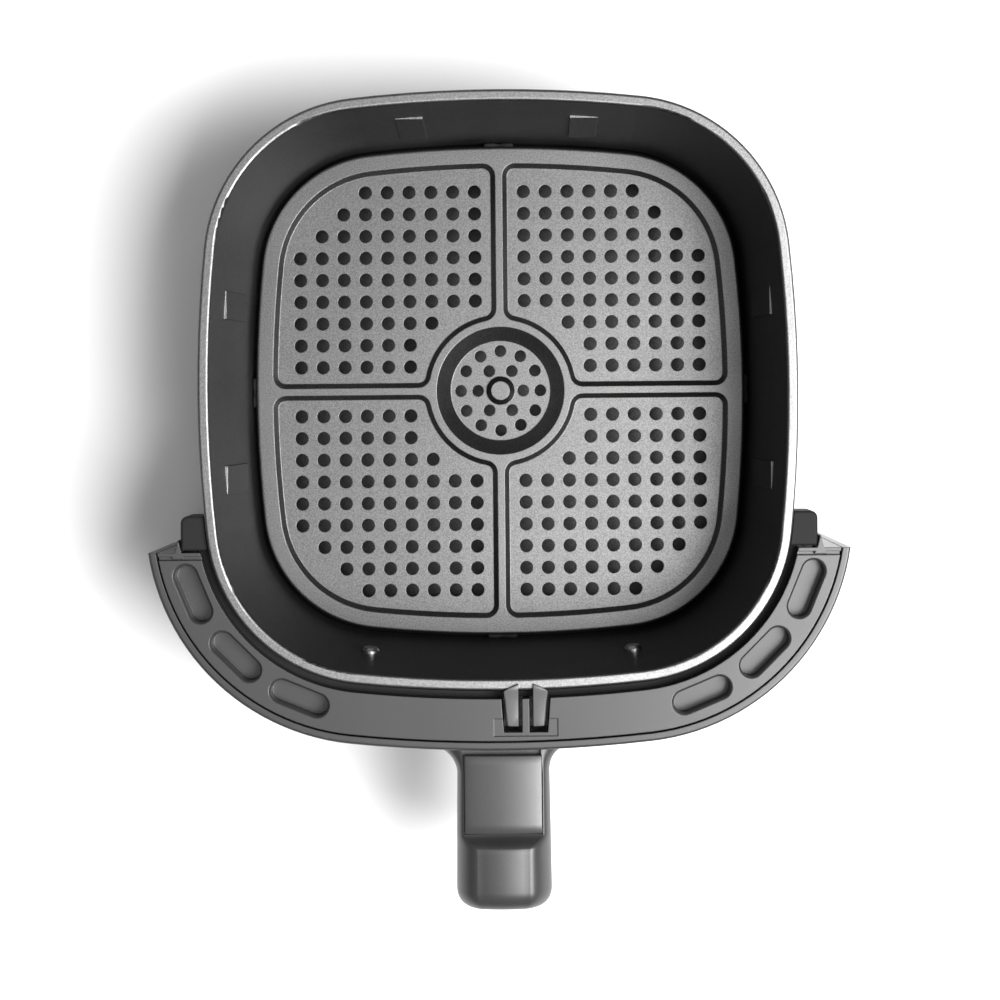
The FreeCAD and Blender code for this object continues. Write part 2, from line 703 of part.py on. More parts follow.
def add_field(sketch, inset):
    """One quarter field: two ribs, the border's arcs and the ring round the hub, moved in by an inset."""
    rib = d.rib_half + inset
    ring = d.hub_ring + inset
    offset = FIELD_EDGE - inset
    flat = d.side_radius + offset
    tight = d.corner_radius + offset
    turn = TURN.value
    ring_x = root(ring * ring - rib * rib)
    side_x = front_y(offset, rib)
    ring_angle = math.degrees(math.asin(rib.value / ring.value))
    side_angle = math.degrees(math.asin(rib.value / flat.value))
    hub = add_arc(sketch, ZERO, ZERO, ring, ring_angle, 90 - ring_angle)
    low = add_line(sketch, (ring_x, rib), (side_x, rib))
    right = add_arc(sketch, -ARC_SHIFT, ZERO, flat, side_angle, turn)
    corner = add_arc(sketch, CORNER, CORNER, tight, turn, 90 - turn)
    back = add_arc(sketch, ZERO, -ARC_SHIFT, flat, 90 - turn, 90 - side_angle)
    left = add_line(sketch, (rib, side_x), (rib, ring_x))
    pin_point(sketch, hub, MIDDLE, ZERO, ZERO)
    constrain(sketch, "Radius", hub, ring)
    constrain(sketch, "DistanceY", ORIGIN, START, hub, START, rib)
    constrain(sketch, "DistanceX", ORIGIN, START, hub, END, rib)
    constrain(sketch, "Coincident", low, START, hub, START)
    constrain(sketch, "DistanceY", ORIGIN, START, low, END, rib)
    constrain(sketch, "Coincident", low, END, right, START)
    pin_point(sketch, right, MIDDLE, -ARC_SHIFT, ZERO)
    constrain(sketch, "Radius", right, flat)
    constrain(sketch, "Tangent", right, END, corner, START)
    constrain(sketch, "Radius", corner, tight)
    constrain(sketch, "Tangent", corner, END, back, START)
    pin_point(sketch, back, MIDDLE, ZERO, -ARC_SHIFT)
    constrain(sketch, "Radius", back, flat)
    constrain(sketch, "Coincident", back, END, left, START)
    constrain(sketch, "DistanceX", ORIGIN, START, left, START, rib)
    constrain(sketch, "Coincident", left, END, hub, END)


def make_fields(name, inset, low, high, corner):
    """Four rounded dishes, one a quarter, whose sloping walls narrow downward to an inset outline."""
    dishes = []
    for turn in QUARTERS.values():
        body = new_body(name)
        sketch = new_sketch(body, name + "_outline", lift=low)
        add_field(sketch, inset)
        pad(body, sketch, high - low)
        soften(body, "Fillet", corner, at_field_corner)
        lean(body, arc_tangent(d.field_slope / d.field_depth), True)
        place(body, yaw=size(turn))
        dishes.append(body)
    return dishes


def field_holes():
    """Centres of the holes that fit on the floor of one field, row by row."""
    floor = d.corner_radius + FIELD_EDGE - d.field_slope
    limit = floor.value - d.hole_margin.value - d.hole_radius.value
    clear = (d.hub_ring + d.field_slope + d.hole_margin + d.hole_radius).value
    edge = (d.rim_half + FIELD_EDGE - d.field_slope - d.hole_margin - d.hole_radius).value
    steps = int((edge - d.hole_first.value) / d.hole_pitch.value) + 1
    centres = []
    for row in range(steps):
        for column in range(steps):
            x = d.hole_first + d.hole_pitch * column
            y = d.hole_first + d.hole_pitch * row
            past_corner = min(x.value, y.value) > CORNER.value
            beyond = math.hypot(x.value - CORNER.value, y.value - CORNER.value)
            if math.hypot(x.value, y.value) < clear or (past_corner and beyond > limit):
                continue
            centres.append((x, y))
    return centres


def at_field_corner(edge):
    """True for an upright edge where a field's rib side ends."""
    ends = [vertex.Z for vertex in edge.Vertexes]
    middle = edge.BoundBox.Center
    beside = (d.rib_half + d.field_slope).value + MATCH
    return max(ends) - min(ends) > MATCH and min(abs(middle.x), abs(middle.y)) < beside


def make_plate():
    """Pressed crisper plate: skirt, border, four sunk fields, cross ribs, hub well and post."""
    under = d.plate_top - d.sheet
    wall = d.sheet * 3 / 4
    flare = arc_tangent(d.plate_flare / d.plate_skirt)
    outside = outline_body("plate_outside", SKIRT_EDGE, SKIRT_LOW, d.plate_top, flare, False)
    soften(outside, "Fillet", d.plate_round, lambda edge: level(edge, d.plate_top))
    inside = outline_body("plate_inside", SKIRT_EDGE - d.sheet, SKIRT_LOW, under, flare, False)
    dishes = make_fields("dish", d.field_slope - wall, under - d.field_depth, under, d.field_corner + wall)
    hollows = make_fields("field", d.field_slope, d.plate_top - d.field_depth, d.plate_top, d.field_corner)
    well = cylinder("well_mouth", d.well_radius, d.plate_skirt, z=SKIRT_LOW)
    hub = new_body("hub")
    section = new_sketch(hub, "hub_profile", "XZ_Plane")
    add_polygon(section, hub_profile())
    revolve(hub, section)
    cover = cut("plate_cover", outside, inside)
    pressed = fuse("plate_dishes", [cover] + dishes)
    dished = cut("plate_dished", pressed, fuse("plate_hollows", hollows + [well]))
    body = new_body("crisper_plate")
    body.BaseFeature = fuse("plate_whole", [dished, hub])
    for radius, count in ((d.hub_outer_ring, 12), (d.hub_inner_ring, 6)):
        ring = new_sketch(body, "hub_hole", lift=d.plate_top)
        add_circle(ring, radius, ZERO, d.hub_hole_radius)
        around(body, [pocket(body, ring)], count)
    holes = new_sketch(body, "field_holes", lift=d.plate_top)
    for x, y in field_holes():
        add_circle(holes, x, y, d.hole_radius)
    around(body, [pocket(body, holes)], 4)
    return body


def hub_profile():
    """Half section of the well: sloping wall, floor and hollow centre post, one sheet thick."""
    floor = d.plate_top - d.well_depth
    under = floor - d.sheet
    top = floor + d.post_height
    return [
        (d.well_radius, d.plate_top), (d.well_floor, floor), (d.post_base, floor), (d.post_top, top),
        (ZERO, top), (ZERO, top - d.sheet), (d.post_top - d.sheet, top - d.sheet),
        (d.post_base - d.sheet, under), (d.well_floor + d.sheet / 2, under),
        (d.well_radius + d.sheet, d.plate_top - d.sheet), (d.well_radius + d.sheet, d.plate_top),
    ]


def make_bumper(side, turn, plate):
    """Silicone bumper: fills the gap to the pan's wall, grips the skirt and stands on the floor."""
    low = d.sheet + d.bumper_gap
    wall_low = d.sheet + d.floor_round + d.bumper_gap * 3
    wall_high = SKIRT_LOW + d.plate_skirt * 3 / 5
    reach = [d.rim_half + wall_offset(height) - d.bumper_gap for height in (wall_low, wall_high)]
    foot = reach[0] - d.floor_round - d.sheet
    inner = foot - d.bumper_leg
    under = d.plate_top - d.sheet
    points = [
        (foot, low), (reach[0], wall_low), (reach[1], wall_high), (d.rim_half + SKIRT_EDGE, wall_high),
        (d.rim_half + PLATE_EDGE - d.sheet * 2, under), (inner + d.bumper_leg, under),
        (inner, SKIRT_LOW), (inner, low),
    ]
    body = new_body("bumper_block_" + side)
    sketch = new_sketch(body, "bumper_profile", "XZ_Plane")
    add_polygon(sketch, points)
    pad(body, sketch, d.bumper_width, both=True)
    place(body, yaw=size(turn))
    return cut("bumper_" + side, body, plate)


# ---------------------------------------------------------------- the carrier band

def make_carrier():
    """Band between pan and frame, with a rounded tab at each end and bosses that meet the pan."""
    end = FRONT_END - d.end_setback
    body = new_body("carrier_body")
    band = new_sketch(body, "carrier_band", lift=d.carrier_bottom)
    add_front_band(band, d.carrier_gap, d.frame_inset, end)
    pad(body, band, d.pan_height - d.carrier_drop - d.carrier_bottom)
    low = d.pan_height - d.tab_drop - d.tab_height
    tabs = new_sketch(body, "tabs", lift=low)
    near = -FRONT_END + d.seam
    for side in (1, -1):
        edges = sorted(((d.rim_half - d.rim_width) * side, (d.rim_half + d.tab_reach) * side), key=value_of)
        add_rectangle(tabs, edges[0], edges[1], near, near + d.tab_length)
    pad(body, tabs, d.tab_height)
    outer = (d.rim_half + d.tab_reach).value
    soften(body, "Fillet", d.tab_round, lambda edge: upright_at(edge, outer, (near + d.tab_length).value))
    soften(body, "Fillet", d.edge_round, lambda edge: tab_crest(edge, low + d.tab_height))
    clear = new_sketch(body, "rim_clearance", lift=low)
    add_outline(clear, d.tab_gap)
    pocket(body, clear, d.tab_height, reverse=True)
    wall = d.sheet / cosine(LEAN_ANGLE)
    reach = d.pan_screw_grip + d.sheet / 2
    bosses = [rod("carrier_boss", seat, d.boss_radius, -reach, -wall) for seat in PAN_SEATS.values()]
    bores = [bore(seat, d.pan_screw_grip) for seat in PAN_SEATS.values()]
    bores += [bore(seat, d.bracket_screw_grip) for seat in BRACKET_SEATS.values()]
    return cut("carrier_band_node", fuse("carrier_solid", [body] + bosses), fuse("carrier_bores", bores))


def value_of(length):
    return length.value


def upright_at(edge, across, along):
    """True for an upright edge at a distance across from the centre, either side, and a place along Y."""
    first, last = edge.Vertexes[0].Point, edge.Vertexes[-1].Point
    upright = abs(first.x - last.x) < MATCH and abs(first.y - last.y) < MATCH
    return upright and abs(abs(first.x) - across) < MATCH and abs(first.y - along) < MATCH


def tab_crest(edge, height):
    """True for the outer edges of a tab's top."""
    return level(edge, height) and abs(edge.BoundBox.Center.x) > (d.rim_half + d.tab_gap).value


# ---------------------------------------------------------------- the front frame

SLOT_ANGLES = [size(45) + d.slot_step * step for step in (-1, 0, 1)]


def add_slots(sketch, margin):
    """The oblong pockets of both corners, each square to its own radius."""
    reach = d.corner_radius + d.slot_offset
    for side in (1, -1):
        for angle in SLOT_ANGLES:
            x = (CORNER + reach * cosine(angle)) * side
            y = -CORNER - reach * sine(angle)
            turn = (size(90) - angle) * side
            add_slot(sketch, x, y, turn, d.slot_length + margin * 2, d.slot_width + margin * 2)


def notch_corners(margin, back):
    """Plan of the clip's notch: it tapers forward."""
    taper = d.prong_sink * 2
    near = -d.rim_half - back
    far = -d.rim_half - d.notch_length - margin
    half = d.notch_half + margin
    return [(d.clip_x - half, near), (d.clip_x - half + taper, far), (d.clip_x + half - taper, far),
            (d.clip_x + half, near)]


def make_frame():
    """Hollow inner shell of the front: top with pockets, inner wall, floor and both ends."""
    body = new_body("frame_body")
    block = new_sketch(body, "frame_block", lift=d.frame_bottom)
    add_front_band(block, d.frame_inset, FRAME_OUT, FRONT_END)
    pad(body, block, FRAME_TOP - d.frame_bottom)
    room = new_sketch(body, "frame_room", lift=FRAME_TOP - d.shell)
    add_front_band(room, d.frame_inset + d.shell, d.front_reach, FRONT_END + d.shell)
    pocket(body, room, FRAME_TOP - d.frame_bottom - d.shell * 2)
    cups = new_sketch(body, "slot_cups", lift=FRAME_TOP - d.slot_depth - d.slot_wall)
    add_slots(cups, d.slot_wall)
    pad(body, cups, d.slot_depth)
    cup = new_sketch(body, "notch_cup", lift=CLIP_FLOOR - d.shell)
    add_polygon(cup, notch_corners(d.slot_wall, d.frame_inset + d.shell / 2))
    pad(body, cup, d.notch_depth)
    slots = new_sketch(body, "slots", lift=FRAME_TOP)
    add_slots(slots, ZERO)
    pocket(body, slots, d.slot_depth)
    soften(body, "Chamfer", d.slot_lip, slot_mouth)
    apron = new_sketch(body, "notch_apron", lift=FRAME_TOP)
    half = d.notch_half + d.apron_margin
    far = -d.rim_half - d.notch_length - d.slot_wall
    add_rectangle(apron, d.clip_x - half, d.clip_x + half, far, far + d.apron_length)
    pocket(body, apron, d.apron_depth)
    notch = new_sketch(body, "notch", lift=FRAME_TOP)
    add_polygon(notch, notch_corners(ZERO, d.carrier_gap))
    pocket(body, notch, d.notch_depth)
    bar = new_sketch(body, "notch_bar", lift=FRAME_TOP - d.apron_depth - d.bar_height)
    bar_half = d.bar_width / 2
    near = -d.rim_half - d.frame_inset
    add_rectangle(bar, d.clip_x - bar_half, d.clip_x + bar_half, far + d.slot_wall / 2, near)
    pad(body, bar, d.bar_height)
    groove = new_sketch(body, "end_grooves", lift=FRAME_TOP)
    spine = d.rim_half + FRAME_OUT - d.spine_place
    for side in (1, -1):
        ends = sorted(((CORNER + d.corner_radius * cosine(TURN)) * side, COVER_FACE * side), key=value_of)
        near = -FRONT_END - d.groove_width
        add_rectangle(groove, ends[0], ends[1], near - d.groove_width, near)
    pocket(body, groove, d.groove_depth)
    spines = new_sketch(body, "spines", lift=FRAME_TOP - d.notch_depth)
    for side in (1, -1):
        half = d.spine_width / 2
        x = spine * side
        tail = -FRONT_END + d.spine_jut - d.spine_length
        add_polygon(spines, [(x - half * 2, tail), (x + half * 2, tail), (x + half, -FRONT_END),
                             (x, -FRONT_END + d.spine_jut), (x - half, -FRONT_END)])
    pad(body, spines, d.notch_depth)
    bores = [bore(seat, d.bracket_screw_grip) for seat in BRACKET_SEATS.values()]
    bores += [bore(seat, d.cover_screw_grip) for seat in COVER_SEATS.values()]
    bores += [bore(CLIP_SEAT, d.clip_screw_grip)]
    return cut("front_frame_node", body, fuse("frame_bores", bores))


def slot_mouth(edge):
    """True for the top edges of the oblong pockets."""
    if not level(edge, FRAME_TOP):
        return False
    middle = edge.valueAt((edge.FirstParameter + edge.LastParameter) / 2)
    reach = math.hypot(abs(middle.x) - CORNER.value, abs(middle.y) - CORNER.value)
    off_line = abs(reach - (d.corner_radius + d.slot_offset).value)
    return off_line < d.slot_width.value * 0.6 and middle.y < -(FRONT_END + d.groove_width).value


# ---------------------------------------------------------------- the front cover

def tongue_box(name, play):
    """The bracket's tongue with some play round it, from the frame's inner wall to its end."""
    half = d.tongue_half + play
    near = -d.rim_half - d.frame_inset - d.shell - d.strap / 2
    return box(name, (-half, half), (-COVER_FACE - d.tongue_length - play, near),
               (TONGUE_TOP - d.strap - play, TONGUE_TOP + play))


def make_cover():
    """Outer skin of the front, with a boss on a web for each cover screw and a window for the tongue."""
    body = new_body("cover_body")
    band = new_sketch(body, "cover_band", lift=COVER_BOTTOM)
    add_front_band(band, d.front_reach - d.skin, d.front_reach, FRONT_END)
    pad(body, band, FRAME_TOP - COVER_BOTTOM)
    soften(body, "Fillet", d.edge_round, cover_rim)
    extras = []
    for seat in COVER_SEATS.values():
        x, y, z = seat.place_at
        floor = z + d.shell
        extras.append(cylinder("cover_boss", d.boss_radius, d.cover_boss_height, x=x, y=y, z=floor))
        from_corner = x.value - math.copysign(CORNER.value, x.value)
        turn = math.degrees(math.atan2(y.value + CORNER.value, from_corner))
        web = primitive("Box", "cover_web", Length=d.front_reach - d.slot_offset - d.skin / 2,
                        Width=d.shell, Height=d.cover_boss_height)
        half = d.shell / 2
        yaw = size(turn)
        place(web, x + sine(yaw) * half, y - cosine(yaw) * half, floor, yaw=yaw)
        extras.append(web)
    bores = [bore(seat, d.cover_screw_grip) for seat in COVER_SEATS.values()]
    bores.append(tongue_box("cover_window", d.strap_play))
    return cut("front_cover_node", fuse("cover_solid", [body] + extras), fuse("cover_bores", bores))


def cover_rim(edge):
    """True for the cover's outer top and bottom edges."""
    if not (level(edge, FRAME_TOP) or level(edge, COVER_BOTTOM)):
        return False
    middle = edge.valueAt((edge.FirstParameter + edge.LastParameter) / 2)
    from_corner = math.hypot(abs(middle.x) - CORNER.value, abs(middle.y) - CORNER.value)
    from_front = math.hypot(middle.x, middle.y - ARC_SHIFT.value)
    tight = abs(from_corner - (d.corner_radius + d.front_reach).value) < MATCH
    return tight or abs(from_front - (d.side_radius + d.front_reach).value) < MATCH


# ---------------------------------------------------------------- the bracket

def make_bracket():
    """Steel bracket: a plate curved to the frame's inner wall and a flat tongue into the handle."""
    body = new_body("bracket_ring")
    inner = d.frame_inset + d.shell
    top = TONGUE_TOP + d.strap / 3
    ring = new_sketch(body, "bracket_ring_outline", lift=top - d.strap_height)
    add_front_band(ring, inner, inner + d.strap, FRONT_END)
    pad(body, ring, d.strap_height)
    room = box("bracket_cut", (-d.strap_half, d.strap_half), (-COVER_FACE, -d.rim_half),
               (top - d.strap_height - d.strap, top + d.strap))
    plate = common("bracket_plate", body, room)
    bores = [bore(seat, d.bracket_screw_grip) for seat in BRACKET_SEATS.values()]
    bores += [bore(seat, d.handle_screw_grip) for seat in HANDLE_SEATS.values()]
    return cut("handle_bracket_node", fuse("bracket_solid", [plate, tongue_box("tongue", ZERO)]),
               fuse("bracket_bores", bores))


# ---------------------------------------------------------------- the rim clip

def make_clip():
    """Rim clip: a base with two prongs that rise through the notch and lap over the rim."""
    body = new_body("clip_body")
    back = -d.rim_half - d.prong_clear
    front = -d.rim_half - d.prong_length
    lap = -d.rim_half + d.prong_hook
    crown = d.pan_height + d.prong_rise
    side_view = [
        (front, CLIP_FLOOR), (back, CLIP_FLOOR), (back, d.pan_height), (lap, d.pan_height),
        (lap, crown - d.prong_sink), (back, crown), (front, FRAME_TOP - d.prong_sink),
    ]
    for side in (1, -1):
        prong = new_sketch(body, "prong", "YZ_Plane", d.clip_x + d.prong_spread / 2 * side)
        add_polygon(prong, side_view)
        pad(body, prong, d.prong_width, both=True)
        if side > 0:
            base = new_sketch(body, "clip_base", lift=CLIP_FLOOR)
            half = (d.prong_spread + d.prong_width) / 2
            add_rectangle(base, d.clip_x - half, d.clip_x + half, front, back)
            pad(body, base, d.clip_base)
    body_bore = bore(CLIP_SEAT, d.clip_screw_grip)
    return cut("rim_clip_node", body, body_bore)


# ---------------------------------------------------------------- the handle

STOP_TOP = PANEL_TOP + d.stop_rise
STOP_FOOT = COVER_FACE + d.stop_start
HANDLE_END = COVER_FACE + d.handle_length
ROOT_WIDTH = d.handle_half + d.handle_root
ROOT_FACE = front_y(d.front_reach, ROOT_WIDTH)


def add_handle_plan(sketch):
    """Plan of the handle: root fillets that run out on the cover, slightly spreading sides, square end."""
    inside = -COVER_FACE + d.skin
    centre_y = -ROOT_FACE - d.handle_root
    wide = d.handle_half + d.handle_spread
    right = add_arc(sketch, ROOT_WIDTH, centre_y, d.handle_root, 90, 180)
    left = add_arc(sketch, -ROOT_WIDTH, centre_y, d.handle_root, 0, 90)
    points = {
        "right_top": (ROOT_WIDTH, -ROOT_FACE), "right_in": (ROOT_WIDTH, inside),
        "left_in": (-ROOT_WIDTH, inside), "left_top": (-ROOT_WIDTH, -ROOT_FACE),
        "left_side": (-d.handle_half, centre_y), "left_end": (-wide, -HANDLE_END),
        "right_end": (wide, -HANDLE_END), "right_side": (d.handle_half, centre_y),
    }
    for arc, centre_x in ((right, ROOT_WIDTH), (left, -ROOT_WIDTH)):
        pin_point(sketch, arc, MIDDLE, centre_x, centre_y)
        constrain(sketch, "Radius", arc, d.handle_root)
    upper = ("right_top", "right_in", "left_in", "left_top")
    lower = ("left_side", "left_end", "right_end", "right_side")
    chains = []
    for names in (upper, lower):
        chain = [add_line(sketch, points[a], points[b]) for a, b in zip(names, names[1:])]
        for line, following in zip(chain, chain[1:]):
            constrain(sketch, "Coincident", line, END, following, START)
        for line, name in zip(chain[1:], names[1:]):
            pin_point(sketch, line, START, *points[name])
        chains.append(chain)
    constrain(sketch, "Coincident", right, START, chains[0][0], START)
    constrain(sketch, "Coincident", left, END, chains[0][-1], END)
    constrain(sketch, "DistanceX", ORIGIN, START, right, START, ROOT_WIDTH)
    constrain(sketch, "DistanceX", ORIGIN, START, left, END, -ROOT_WIDTH)
    constrain(sketch, "Coincident", left, START, chains[1][0], START)
    constrain(sketch, "Coincident", right, END, chains[1][-1], END)
    constrain(sketch, "DistanceY", ORIGIN, START, left, START, centre_y)
    constrain(sketch, "DistanceY", ORIGIN, START, right, END, centre_y)


def handle_slab(name, low, high):
    """A slab of the handle's plan with its end corners rounded."""
    body = new_body(name)
    plan = new_sketch(body, name + "_plan", lift=low)
    add_handle_plan(plan)
    pad(body, plan, high - low)
    wide = (d.handle_half + d.handle_spread).value
    end = -HANDLE_END.value
    soften(body, "Fillet", d.handle_nose, lambda edge: upright_at(edge, wide, end))
    return body


def side_cut(body, name, points):
    """Cut a side-view polygon out of a body, right across it."""
    sketch = new_sketch(body, name, "YZ_Plane")
    add_polygon(sketch, points)
    pocket(body, sketch, both=True)


def make_handle():
    """Moulded grip: a recess for the panel between two rails, a thumb stop and a rounded end."""
    low = HANDLE_TOP - d.handle_thick - d.handle_belly
    shoulder = STOP_TOP - d.stop_round - d.strap
    above = STOP_TOP + d.strap
    grip = handle_slab("handle_grip", low, HANDLE_TOP)
    reach = d.handle_length / 3
    waist = low + d.handle_belly
    below = low - d.strap
    side_cut(grip, "handle_under", [
        (-COVER_FACE - reach / 2, below), (-COVER_FACE - reach / 2, low), (-COVER_FACE - reach, waist),
        (-COVER_FACE - reach * 2, waist), (-HANDLE_END + reach / 3, low), (-HANDLE_END + reach / 3, below)])
    side_cut(grip, "handle_step", [
        (-STOP_FOOT, above), (-STOP_FOOT, shoulder),
        (-HANDLE_END - reach, shoulder), (-HANDLE_END - reach, above)])
    stop = handle_slab("thumb_stop", shoulder, STOP_TOP)
    side_cut(stop, "stop_slope", [
        (-STOP_FOOT, shoulder - d.strap), (-STOP_FOOT, PANEL_TOP), (-STOP_FOOT - d.stop_slope, STOP_TOP),
        (-STOP_FOOT - d.stop_slope, above), (ZERO, above), (ZERO, shoulder - d.strap)])
    soften(stop, "Fillet", d.stop_round, lambda edge: level(edge, STOP_TOP) and edge.BoundBox.YLength > MATCH
           or level(edge, STOP_TOP) and edge.BoundBox.YMin < -(HANDLE_END - d.panel_play).value)
    clear = new_body("handle_clearance")
    outline = new_sketch(clear, "handle_clearance_outline", lift=low - d.strap)
    add_outline(outline, d.front_reach)
    pad(clear, outline, d.handle_thick * 2)
    half = d.panel_half + d.panel_play
    recess = box("panel_recess", (-half, half), (-STOP_FOOT, -COVER_FACE - d.shell),
                 (PANEL_TOP - d.panel_thick, above))
    tools = [clear, recess, tongue_box("handle_channel", d.strap_play)]
    for seat in HANDLE_SEATS.values():
        tools.append(bore(seat, d.handle_screw_grip))
        tools.append(rod("handle_sink", seat, d.screw_head + d.strap_play, ZERO, d.screw_crown * 2))
    return cut("handle_body_node", fuse("handle_solid", [grip, stop]), fuse("handle_tools", tools))


def make_panel():
    """Panel that drops into the handle's recess and hides the handle screws."""
    body = new_body("handle_panel")
    plan = new_sketch(body, "panel_plan", lift=PANEL_TOP - d.panel_thick)
    add_rectangle(plan, -d.panel_half, d.panel_half, -STOP_FOOT + d.panel_play,
                  -COVER_FACE - d.shell - d.panel_play)
    pad(body, plan, d.panel_thick)
    soften(body, "Fillet", d.panel_play, lambda edge: level(edge, PANEL_TOP))
    return body


# ---------------------------------------------------------------- the assembly

def make_nodes():
    """Every separate piece, by its node name."""
    nodes = {"pan": make_pan(), "crisper_plate": make_plate()}
    for side, turn in QUARTERS.items():
        nodes["bumper_" + side] = make_bumper(side, turn, nodes["crisper_plate"])
    nodes["carrier_band"] = make_carrier()
    nodes["front_frame"] = make_frame()
    nodes["front_cover"] = make_cover()
    nodes["rim_clip"] = make_clip()
    nodes["handle_bracket"] = make_bracket()
    nodes["handle_body"] = make_handle()
    nodes["handle_panel"] = make_panel()
    screws = (("pan_screw_", PAN_SEATS, d.pan_screw_grip),
              ("bracket_screw_", BRACKET_SEATS, d.bracket_screw_grip),
              ("cover_screw_", COVER_SEATS, d.cover_screw_grip),
              ("handle_screw_", HANDLE_SEATS, d.handle_screw_grip),
              ("clip_", {"screw": CLIP_SEAT}, d.clip_screw_grip))
    for prefix, seats, grip in screws:
        for place_name, seat in seats.items():
            nodes[prefix + place_name] = make_screw(prefix + place_name + "_turned", seat, grip)
    for name, thing in nodes.items():
        thing.Label = name
    return nodes


def check(nodes):
    """Stop if any object failed or any piece is not one sound solid."""
    doc.recompute()
    failed = [thing.Name for thing in doc.Objects if {"Invalid", "Error"} & set(thing.State)]
    if failed:
        raise RuntimeError("objects failed: " + ", ".join(failed))
    for name, thing in nodes.items():
        shape = thing.Shape
        if shape.isNull() or not shape.isValid() or len(shape.Solids) != 1:
            raise RuntimeError("unsound piece: " + name)
        if len(name) >= MAX_NAME:
            raise RuntimeError("name too long: " + name)


def write(nodes):
    os.makedirs(PARTS_FOLDER, exist_ok=True)
    for name, thing in nodes.items():
        thing.Shape.exportStep(os.path.join(PARTS_FOLDER, name + ".step"))


pieces = make_nodes()
check(pieces)
write(pieces)
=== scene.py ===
"""The pull-out drawer of an air fryer: coated pan, crisper plate, plastic front and handle."""

import math

import bmesh
import bpy
from mathutils import Matrix, Vector


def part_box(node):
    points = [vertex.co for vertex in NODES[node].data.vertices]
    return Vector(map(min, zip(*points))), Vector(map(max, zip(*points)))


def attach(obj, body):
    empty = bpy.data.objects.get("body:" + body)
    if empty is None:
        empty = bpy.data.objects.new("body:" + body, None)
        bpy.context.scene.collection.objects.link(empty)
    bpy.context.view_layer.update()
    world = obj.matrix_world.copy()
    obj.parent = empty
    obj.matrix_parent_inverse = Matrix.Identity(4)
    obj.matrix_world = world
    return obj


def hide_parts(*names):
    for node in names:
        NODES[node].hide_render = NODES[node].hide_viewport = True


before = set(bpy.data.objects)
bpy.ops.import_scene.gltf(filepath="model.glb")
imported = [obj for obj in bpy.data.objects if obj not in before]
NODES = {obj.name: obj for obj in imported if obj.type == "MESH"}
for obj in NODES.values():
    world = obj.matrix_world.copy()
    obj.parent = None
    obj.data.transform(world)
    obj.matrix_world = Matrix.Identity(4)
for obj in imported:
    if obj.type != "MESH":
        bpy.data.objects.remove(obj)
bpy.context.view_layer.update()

# ---------------------------------------------------------------- materials

# Noise scales: how fine the grain of each kind of surface is, and its slow changes in gloss.
COATING_GRAIN = 1700.0
RUBBER_GRAIN = 1800.0
PLASTIC_GRAIN = 2500.0
GLOSS_BLOTCH = 25.0

# Bump depths, in metres.
PAN_DEPTH = 0.00004
PLATE_DEPTH = 0.00005
PLASTIC_DEPTH = 0.00001
STEEL_DEPTH = 0.000005

NOISE_LOW, NOISE_HIGH = 0.3, 0.7    # the range that most of the noise stays in
METAL_TINT = 0.35
BEVEL_SAMPLES = 6


def new_material(name):
    """A node material, with its tree and its shader."""
    material = bpy.data.materials.new(name)
    material.use_nodes = True
    return material, material.node_tree, material.node_tree.nodes["Principled BSDF"]


def noise_map(tree, scale, detail, rough):
    """Noise that sits in the object, so it stays put as the piece moves."""
    place = tree.nodes.new("ShaderNodeTexCoord")
    noise = tree.nodes.new("ShaderNodeTexNoise")
    noise.inputs["Scale"].default_value = scale
    noise.inputs["Detail"].default_value = detail
    noise.inputs["Roughness"].default_value = rough
    tree.links.new(place.outputs["Object"], noise.inputs["Vector"])
    return noise


def ramp(tree, source, low, high, dark, light):
    """Turn a value into a grey between dark and light."""
    node = tree.nodes.new("ShaderNodeValToRGB")
    for element, position, tone in zip(node.color_ramp.elements, (low, high), (dark, light)):
        element.position = position
        element.color = (tone, tone, tone, 1)
    tree.links.new(source, node.inputs["Fac"])
    return node


def spread(tree, source, low, high, out_low, out_high):
    """Map a value from one range to another."""
    node = tree.nodes.new("ShaderNodeMapRange")
    node.inputs["From Min"].default_value = low
    node.inputs["From Max"].default_value = high
    node.inputs["To Min"].default_value = out_low
    node.inputs["To Max"].default_value = out_high
    tree.links.new(source, node.inputs["Value"])
    return node


def finish_material(name, tone, rough, grain, depth, edge=0.0, metallic=0.0):
    """A grained surface: fine flecks in its colour, slow changes in its gloss, and a fine bump.

    tone and rough are (low, high) pairs; edge is the radius, in metres, that softens sharp edges.
    """
    material, tree, shader = new_material(name)
    fine = noise_map(tree, grain, 2.0, 0.6)
    slow = noise_map(tree, GLOSS_BLOTCH, 3.0, 0.5)
    colour = ramp(tree, fine.outputs["Fac"], NOISE_LOW, NOISE_HIGH, *tone)
    tree.links.new(colour.outputs["Color"], shader.inputs["Base Color"])
    gloss = spread(tree, slow.outputs["Fac"], NOISE_LOW, NOISE_HIGH, *rough)
    tree.links.new(gloss.outputs["Result"], shader.inputs["Roughness"])
    bump = tree.nodes.new("ShaderNodeBump")
    bump.inputs["Strength"].default_value = 1.0
    bump.inputs["Distance"].default_value = depth
    tree.links.new(fine.outputs["Fac"], bump.inputs["Height"])
    if edge:
        ease = tree.nodes.new("ShaderNodeBevel")
        ease.samples = BEVEL_SAMPLES
        ease.inputs["Radius"].default_value = edge
        tree.links.new(ease.outputs["Normal"], bump.inputs["Normal"])
    tree.links.new(bump.outputs["Normal"], shader.inputs["Normal"])
    shader.inputs["Metallic"].default_value = metallic
    if metallic:
        shader.inputs["Specular Tint"].default_value = (METAL_TINT, METAL_TINT, METAL_TINT, 1)
    return material


def plastic(name, tone, rough, edge=0.0):
    """A moulded plastic."""
    return finish_material(name, tone, rough, PLASTIC_GRAIN, PLASTIC_DEPTH, edge)


